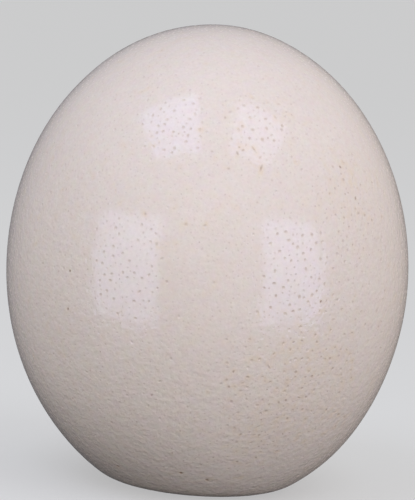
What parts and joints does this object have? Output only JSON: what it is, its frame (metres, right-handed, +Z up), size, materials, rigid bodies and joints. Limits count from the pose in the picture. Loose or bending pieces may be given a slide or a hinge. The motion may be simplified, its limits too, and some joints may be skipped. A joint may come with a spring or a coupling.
{
  "type": "ostrich egg",
  "caption": "Whole ostrich egg, a large cream-white oval shell dotted with fine pores, standing on a small flat spot at its lower end.",
  "frame": {"origin": "on the surface that the egg stands on, under the middle of its bounding box", "axes": "+Z up, along the egg's length; -Y is the side that the picture shows, with +X to its right"},
  "size_m": [0.13, 0.13, 0.1489],
  "materials": {
    "shell": "satin"
  },
  "bodies": {
    "root": {"egg": "shell"}
  },
  "joints": []
}
